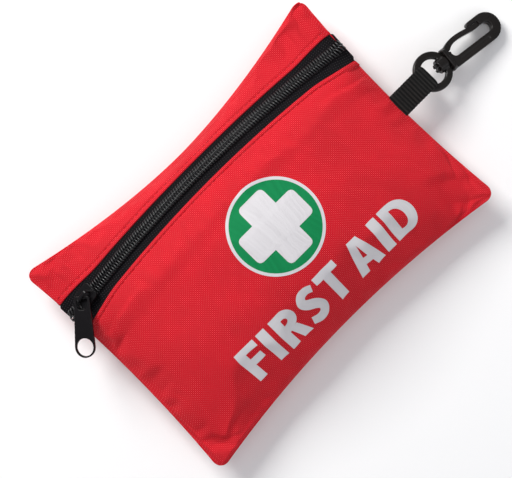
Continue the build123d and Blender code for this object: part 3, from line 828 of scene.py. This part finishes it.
def lay_print(name, flat_mesh, material, lift, cell=1.2):
    """Cuts a flat mesh in millimetres on a grid of cells and lays it on the front panel."""
    mesh = bmesh.new()
    mesh.from_mesh(flat_mesh)
    bmesh.ops.remove_doubles(mesh, verts=mesh.verts, dist=0.001)
    for axis in (0, 1):
        values = [v.co[axis] for v in mesh.verts]
        cuts = np.arange(math.floor(min(values) / cell) * cell, max(values), cell)
        normal = (1, 0, 0) if axis == 0 else (0, 1, 0)
        for cut in cuts:
            everything = mesh.verts[:] + mesh.edges[:] + mesh.faces[:]
            bmesh.ops.bisect_plane(mesh, geom=everything, dist=0.0005,
                                   plane_co=Vector(normal) * float(cut), plane_no=normal)
    bmesh.ops.remove_doubles(mesh, verts=mesh.verts, dist=0.02)
    bmesh.ops.triangulate(mesh, faces=mesh.faces[:])
    up_side_down = [f for f in mesh.faces if f.normal.z < 0]
    bmesh.ops.reverse_faces(mesh, faces=up_side_down)
    for edge in mesh.edges:
        edge.smooth = not edge.is_boundary
    done = bpy.data.meshes.new(name)
    mesh.to_mesh(done)
    mesh.free()
    flat = np.empty(len(done.vertices) * 3)
    done.vertices.foreach_get("co", flat)
    x, y = flat.reshape(-1, 3)[:, 0], flat.reshape(-1, 3)[:, 1]
    here = on_front(x, y)
    side_x, side_y = on_front(x + 0.5, y) - here, on_front(x, y + 0.5) - here
    normal = np.cross(side_x[:, :3], side_y[:, :3])
    normal /= np.linalg.norm(normal, axis=1)[:, None]
    raised = (here[:, :3] + normal * lift) * MM
    done.vertices.foreach_set("co", raised.ravel())
    corners = np.empty(len(done.loops), dtype=int)
    done.loops.foreach_get("vertex_index", corners)
    layer = done.uv_layers.new(name="cloth")
    layer.data.foreach_set("uv", (here[corners][:, 3:5] * MM).ravel())
    done.polygons.foreach_set("use_smooth", np.ones(len(done.polygons), bool))
    done.materials.clear()
    done.materials.append(material)
    piece = bpy.data.objects.new(name, done)
    bpy.context.scene.collection.objects.link(piece)
    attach(thicken(piece, PRINT_T), "pouch")
    print(name, "faces", len(done.polygons))
    return piece


def flat_curve(name, outlines):
    """A filled flat mesh from closed outlines; an outline inside another is a hole."""
    curve = bpy.data.curves.new(name, "CURVE")
    curve.dimensions = "2D"
    curve.fill_mode = "FRONT"
    for outline in outlines:
        spline = curve.splines.new("POLY")
        spline.points.add(len(outline) - 1)
        four = np.concatenate([outline, np.zeros((len(outline), 1)),
                               np.ones((len(outline), 1))], axis=1)
        spline.points.foreach_set("co", four.ravel())
        spline.use_cyclic_u = True
    return curve_mesh(name, curve)


def curve_mesh(name, data):
    holder = bpy.data.objects.new(name, data)
    bpy.context.scene.collection.objects.link(holder)
    bpy.context.view_layer.update()
    mesh = bpy.data.meshes.new_from_object(holder.evaluated_get(
        bpy.context.evaluated_depsgraph_get()))
    bpy.data.objects.remove(holder)
    return mesh


# %% Outlines with rounded corners
SIGN = np.array([7.6, -2.7])
DISC_LIFT, RING_LIFT, CROSS_LIFT, WORDS_LIFT = 0.10, 0.13, 0.15, 0.12
UNDERLAP = 0.3            # the disc goes this far under the ring
RING_EDGE, DISC_EDGE = 23.5, 22.0
CROSS_HALF, ARM_HALF, ARM_ROUND, NOOK_ROUND = 17.95, 7.75, 2.9, 0.3


def circle(radius, count=180):
    t = np.linspace(0, 2 * np.pi, count, endpoint=False)
    return np.stack([np.cos(t), np.sin(t)], -1) * radius + SIGN


def round_corners(points, radius, count=7):
    """Each corner P becomes a curve (1-t)^2 A + 2t(1-t) P + t^2 B, where A and B lie radius
    from P on its two sides; radius is one number or one for each corner."""
    points = np.array(points, float)
    before = np.roll(points, 1, axis=0) - points
    after = np.roll(points, -1, axis=0) - points
    start = points + before / np.linalg.norm(before, axis=1)[:, None] * radius
    end = points + after / np.linalg.norm(after, axis=1)[:, None] * radius
    t = np.linspace(0, 1, count)[None, :, None]
    curve = (1 - t) ** 2 * start[:, None] + 2 * t * (1 - t) * points[:, None]
    return (curve + t ** 2 * end[:, None]).reshape(-1, 2)


# %% Sign: green disc in a white ring, with a plain white cross
LONG, ARM = CROSS_HALF, ARM_HALF
CROSS = [(LONG, -ARM), (LONG, ARM), (ARM, ARM), (ARM, LONG), (-ARM, LONG), (-ARM, ARM),
         (-LONG, ARM), (-LONG, -ARM), (-ARM, -ARM), (-ARM, -LONG), (ARM, -LONG), (ARM, -ARM)]
cross_rounds = np.tile([ARM_ROUND, ARM_ROUND, NOOK_ROUND], 4)[:, None]
cross_outline = round_corners(CROSS, cross_rounds) + SIGN
lay_print("print_green_disc", flat_curve("disc", [circle(DISC_EDGE + UNDERLAP)]),
          GREEN_PRINT, DISC_LIFT)
lay_print("print_white_ring", flat_curve("ring", [circle(RING_EDGE), circle(DISC_EDGE)]),
          WHITE_PRINT, RING_LIFT)
lay_print("print_white_cross", flat_curve("cross", [cross_outline]), WHITE_PRINT, CROSS_LIFT)

# %% Lettering: two plain words in heavy upright strokes
CAP, STEM, BAR = 19.2, 5.1, 4.2
BASE, NARROW = -51.6, 0.968


def letter_f():
    low, high, arm = 0.384 * CAP, 0.589 * CAP, 11.6
    return [[(0, 0), (STEM, 0), (STEM, low), (arm, low), (arm, high), (STEM, high),
             (STEM, CAP - BAR), (arm + 1, CAP - BAR), (arm + 1, CAP), (0, CAP)]]


def letter_i():
    return [[(0, 0), (STEM + 0.4, 0), (STEM + 0.4, CAP), (0, CAP)]]


def letter_t():
    left, right, wide = 4.3, 9.4, 13.8
    under = CAP - BAR - 0.15
    return [[(left, 0), (right, 0), (right, under), (wide, CAP - BAR), (wide, CAP),
             (0, CAP), (0, CAP - BAR), (left, under)]]


def letter_a():
    bar_low, bar_high = 0.19 * CAP, 0.38 * CAP
    outer = [(0, 0), (5.2, 0), (6.1, bar_low), (10.2, bar_low), (11.1, 0), (16.4, 0),
             (11.2, CAP), (5.2, CAP)]
    return [outer, [(6.9, bar_high), (9.4, bar_high), (8.15, 0.8 * CAP)]]


def bowl(left, middle, reach, half):
    """Right half of a squarish ellipse: reach and half are its half width and height."""
    t = np.linspace(-np.pi / 2, np.pi / 2, 24)
    wide = left + reach * np.abs(np.cos(t)) ** 0.85
    return list(zip(wide, middle + half * np.sin(t)))


def letter_d():
    outer = [(0, 0)] + bowl(5.4, CAP / 2, 10.8, CAP / 2) + [(0, CAP)]
    return [outer, [(STEM, 3.5)] + bowl(5.6, CAP / 2, 5.2, CAP / 2 - 3.5) + [(STEM, CAP - 3.5)]]


def letter_r():
    middle, half = 0.695 * CAP, 0.305 * CAP
    curve = bowl(6.0, middle, 7.2, half)[3:]
    outer = [(0, 0), (STEM, 0), (STEM, 0.36 * CAP), (6.0, 0.36 * CAP), (8.6, 0), (14.4, 0),
             (10.5, 0.43 * CAP)] + curve + [(0, CAP)]
    return [outer, [(STEM, middle - 1.9)] + bowl(5.6, middle, 2.8, 1.9) + [(STEM, middle + 1.9)]]


def letter_s():
    """A stroke carried along a bent line, wider in its middle than at its ends."""
    line = np.array([(11.6, 0.83), (8.4, 0.885), (4.9, 0.86), (2.9, 0.72), (4.3, 0.585),
                     (8.4, 0.43), (10.2, 0.28), (8.6, 0.14), (5.2, 0.105), (1.0, 0.165)])
    line = line * [1, CAP]
    t = np.linspace(0, len(line) - 1, 70)
    i = np.clip(t.astype(int), 0, len(line) - 2)
    u = (t - i)[:, None]
    wide = np.concatenate([[2 * line[0] - line[1]], line, [2 * line[-1] - line[-2]]])
    p0, p1, p2, p3 = (wide[i + k] for k in range(4))
    path = 0.5 * (2 * p1 + (p2 - p0) * u + (2 * p0 - 5 * p1 + 4 * p2 - p3) * u ** 2
                  + (3 * p1 - p0 - 3 * p2 + p3) * u ** 3)
    along = np.gradient(path, axis=0)
    along /= np.linalg.norm(along, axis=1)[:, None]
    half = (3.9 + 1.0 * np.sin(np.pi * t / t[-1]))[:, None] / 2
    side = np.stack([-along[:, 1], along[:, 0]], -1) * half
    return [np.concatenate([path + side, (path - side)[::-1]])]


WORDS = [(letter_f, -51.9), (letter_i, -37.1), (letter_r, -28.6), (letter_s, -12.8),
         (letter_t, 1.5), (letter_a, 20.4), (letter_i, 39.0), (letter_d, 46.6)]
outlines = [(np.array(ring) + [left, 0]) * [NARROW, 1] + [0, BASE]
            for shape, left in WORDS for ring in shape()]
lay_print("print_words", flat_curve("words", outlines), WHITE_PRINT, WORDS_LIFT)

# %% [markdown]
# ## Hook, ring, slider and pull
# These are moulded or cast, so no edge is sharp. The CAD solids have the right shape but crisp
# edges: a copy is remeshed in fine voxels and relaxed, which rounds every edge a little.


# %% Rounded copies of the hard pieces
def rounded(name, node, body, voxel, rounds, material):
    """A voxel copy of a node, relaxed for some rounds: each point moves to its neighbours."""
    mesh = frame["nodes"][node].data.copy()
    merged = bmesh.new()
    merged.from_mesh(mesh)
    bmesh.ops.remove_doubles(merged, verts=merged.verts, dist=1e-6)
    merged.to_mesh(mesh)
    merged.free()
    piece = bpy.data.objects.new(name, mesh)
    bpy.context.scene.collection.objects.link(piece)
    remesh = piece.modifiers.new("voxels", "REMESH")
    remesh.mode = "VOXEL"
    remesh.voxel_size = voxel * MM
    relax = piece.modifiers.new("relax", "SMOOTH")
    relax.factor = 0.5
    relax.iterations = rounds
    bpy.context.view_layer.update()
    done = bpy.data.meshes.new_from_object(piece.evaluated_get(
        bpy.context.evaluated_depsgraph_get()))
    piece.modifiers.clear()
    piece.data = done
    done.name = name
    done.materials.clear()
    done.materials.append(material)
    done.polygons.foreach_set("use_smooth", np.ones(len(done.polygons), bool))
    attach(piece, body)
    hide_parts(node)
    print(name, "faces", len(done.polygons))
    return piece


rounded("hook_rounded", "snap_hook", "hook", 0.24, 36, HOOK)
rounded("gate_rounded", "hook_gate", "gate", 0.20, 14, HOOK)
rounded("ring_rounded", "swivel_ring", "ring", 0.22, 24, HOOK)
rounded("slider_rounded", "slider_body", "slider", 0.13, 6, ENAMEL)
rounded("bridge_rounded", "slider_bridge", "slider", 0.10, 11, ENAMEL)
rounded("pull_rounded", "pull_tab", "pull_tab", 0.13, 10, ENAMEL)

# %% [markdown]
# ## Webbing loop
# Narrow nylon webbing, woven with a thick weft, so it has ribs across it and serrated edges.
# It is one band: out of the seam, round the ring and back. Its thickness and width rise and
# fall with each rib along the path.

# %% Webbing
WEB_JOINT = next(j for j in frame["joints"] if j["name"] == "webbing_flex")
WEB_AT = np.array(WEB_JOINT["pos_m"]) / MM
WEB_DROOP = math.radians(13.0)
WEB_W, WEB_T = 13.0, 1.0
WEB_KNOTS = np.array([[-5.0, 0.62], [-1.5, 0.62], [1.2, 0.62], [3.6, 0.85], [7.0, 2.0],
                      [10.4, 3.05], [14.0, 3.15], [17.6, 3.12], [19.4, 2.5], [20.05, 1.2]])


def webbing_points(rows=420, cols=40):
    """A rounded band carried along a smooth closed-over path; ribs are cosines of its length."""
    knots = np.concatenate([WEB_KNOTS, [[20.15, 0.0]], WEB_KNOTS[::-1] * [1, -1]])
    t = np.linspace(0, len(knots) - 1, rows)
    i = np.clip(t.astype(int), 0, len(knots) - 2)
    u = (t - i)[:, None]
    padded = np.concatenate([[2 * knots[0] - knots[1]], knots, [2 * knots[-1] - knots[-2]]])
    p0, p1, p2, p3 = (padded[i + k] for k in range(4))
    line = 0.5 * (2 * p1 + (p2 - p0) * u + (2 * p0 - 5 * p1 + 4 * p2 - p3) * u ** 2
                  + (3 * p1 - p0 - 3 * p2 + p3) * u ** 3)
    run = np.concatenate([[0], np.cumsum(np.linalg.norm(np.diff(line, axis=0), axis=1))])
    even = np.linspace(0, run[-1], rows)
    line = np.stack([np.interp(even, run, line[:, k]) for k in range(2)], -1)
    along = np.gradient(line, axis=0)
    along /= np.linalg.norm(along, axis=1)[:, None]
    out = np.stack([-along[:, 1], along[:, 0]], -1)
    rib = np.abs(np.cos(np.pi * even / RIB))
    half_t = WEB_T / 2 - 0.32 + 0.32 * rib
    narrow = 1.35 * smooth((2.8 - np.abs(line[:, 1])) / 0.7) * (line[:, 0] > 15)
    half_w = WEB_W / 2 - 0.3 + 0.22 * rib - narrow
    turn = np.linspace(0, 2 * np.pi, cols, endpoint=False)
    wide = np.sign(np.cos(turn)) * np.abs(np.cos(turn)) ** 0.35
    thick = np.sign(np.sin(turn)) * np.abs(np.sin(turn)) ** 0.6
    x = line[:, :1] + out[:, :1] * half_t[:, None] * thick
    z = line[:, 1:] + out[:, 1:] * half_t[:, None] * thick
    y = half_w[:, None] * wide
    return np.stack([x, y + 0 * x, z], -1), even, wide * WEB_W / 2


def place_webbing(points):
    """Turns the band down by its droop and moves it to the seam."""
    x, y, z = points[..., 0], points[..., 1], points[..., 2]
    c, s = math.cos(WEB_DROOP), math.sin(WEB_DROOP)
    droop = smooth((x + 2.5) / 3.5)
    turned_x, turned_z = x * c + z * s, z * c - x * s
    place = np.stack([x + (turned_x - x) * droop, y, z + (turned_z - z) * droop], -1)
    return place + WEB_AT


web_local, web_run, web_wide = webbing_points()
web_flat = np.stack([np.repeat(web_run[:, None], len(web_wide), 1),
                     np.repeat(web_wide[None], len(web_run), 0)], -1)
web_faces = grid_faces(len(web_run), len(web_wide), wrap_cols=True)
webbing = add_mesh("webbing_band", place_webbing(web_local), web_faces, WEBBING, web_flat,
                   caps=len(web_wide))
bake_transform(webbing)
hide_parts("webbing_loop", "webbing_root")

# %% [markdown]
# ## The cloth's finish
# Real cloth has thickness, and the size each sheet was cut to, measured along the cloth, is worked
# out and printed. The contents keep their CAD shapes and get finishes of their own.


# %% Cut sizes of the cloth
CLOTH_T = 0.5
NEARLY_ALL = 0.999        # an area is never over the flat rectangle


def declare_cloth(piece, points):
    """The cut: the greatest length along the grid's rows and columns, and its area as laid."""
    long_way = np.linalg.norm(np.diff(points, axis=0), axis=2).sum(0).max()
    cross_way = np.linalg.norm(np.diff(points, axis=1), axis=2).sum(1).max()
    du, dv = points[1:, :-1] - points[:-1, :-1], points[:-1, 1:] - points[:-1, :-1]
    area = np.linalg.norm(np.cross(du, dv), axis=2).sum() * MM * MM
    flat = (cross_way * MM, long_way * MM)
    area = min(area, NEARLY_ALL * flat[0] * flat[1])
    print(piece.name, "cut", [round(v, 4) for v in flat], "area", round(area, 5))
    thicken(piece, CLOTH_T)


declare_cloth(front_cloth, front_points)
declare_cloth(strip_cloth, strip_points)
declare_cloth(back_cloth, back_points)

# %% Finishes of the contents
# the crown colours of gauze and crepe are painted highlights on their yarn tops
GAUZE = cloth("gauze", (0.78, 0.77, 0.73, 1), (0.86, 0.85, 0.82, 1), (0.93, 0.93, 0.91, 1),
              0.0009, 0.0002, roughness=0.85, spot="Object")
CREPE = cloth("crepe bandage", (0.62, 0.50, 0.38, 1), (0.72, 0.60, 0.47, 1),
              (0.80, 0.70, 0.58, 1), 0.0007, 0.0002, roughness=0.8, spot="Object")
ADHESIVE = plain("adhesive tape", (0.82, 0.80, 0.76, 1), (0.9, 0.89, 0.86, 1), 0.5)
CARD = plain("card core", (0.42, 0.30, 0.19, 1), (0.52, 0.39, 0.26, 1), 0.8)
PAPER = plain("packet paper", (0.80, 0.82, 0.84, 1), (0.9, 0.91, 0.92, 1), 0.6)
FOIL = plain("packet foil", (0.62, 0.63, 0.65, 1), (0.78, 0.79, 0.8, 1), 0.28, scale=110.0,
             grain=260.0, depth=0.0002, Metallic=0.9)
STEEL = plain("brushed steel", (0.5, 0.51, 0.52, 1), (0.62, 0.63, 0.64, 1), 0.3, Metallic=1.0)
FINISHES = {"gauze": GAUZE, "crepe": CREPE, "tape_white": ADHESIVE, "card_core": CARD,
            "packet_paper": PAPER, "packet_foil": FOIL, "steel": STEEL, "red_cloth": RED,
            "black_tape": TAPE, "black_coil": COIL, "black_slider": ENAMEL,
            "black_webbing": WEBBING, "hook_plastic": HOOK}
for row in frame["record"]["subparts"]:
    shown = frame["nodes"][row["node"]]
    shown.data.materials.clear()
    shown.data.materials.append(FINISHES[row["material_slot"]])
